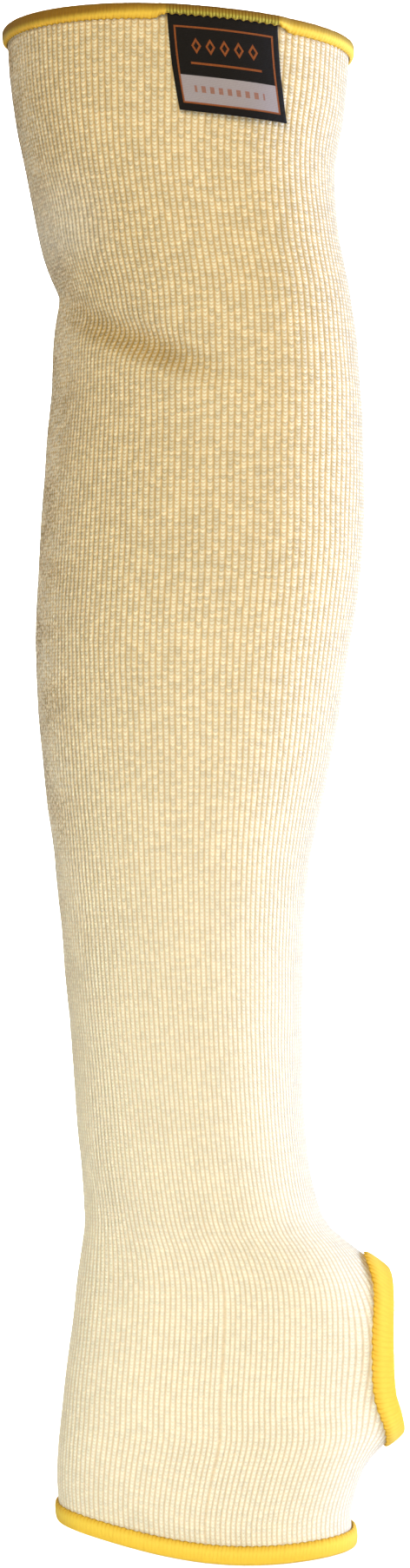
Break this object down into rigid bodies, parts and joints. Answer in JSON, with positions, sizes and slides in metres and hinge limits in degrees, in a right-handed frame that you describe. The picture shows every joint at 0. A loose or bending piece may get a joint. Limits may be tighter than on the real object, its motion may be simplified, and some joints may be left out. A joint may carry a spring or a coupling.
{
  "type": "cut resistant sleeve",
  "caption": "Knitted cut resistant arm sleeve in worn form, open at upper arm and hand, with bound edges, a thumb opening and a woven label.",
  "frame": {"origin": "middle of the upper arm opening, at the level of the knit's edge", "axes": "+Z along the sleeve towards the upper arm, +X to the thumb side, -Y to the front, where the label hangs"},
  "size_m": [0.1166, 0.0865, 0.443],
  "materials": {
    "knit": "matte ribbed knit of pale yellow aramid yarn",
    "binding": "matte woolly overlock thread, yellow",
    "label": "satin woven label, black with a copper line"
  },
  "bodies": {
    "root": {"knit_tube": "knit", "upper_arm_hem": "binding", "hand_hem": "binding", "thumb_binding": "binding", "label": "label"}
  },
  "joints": []
}
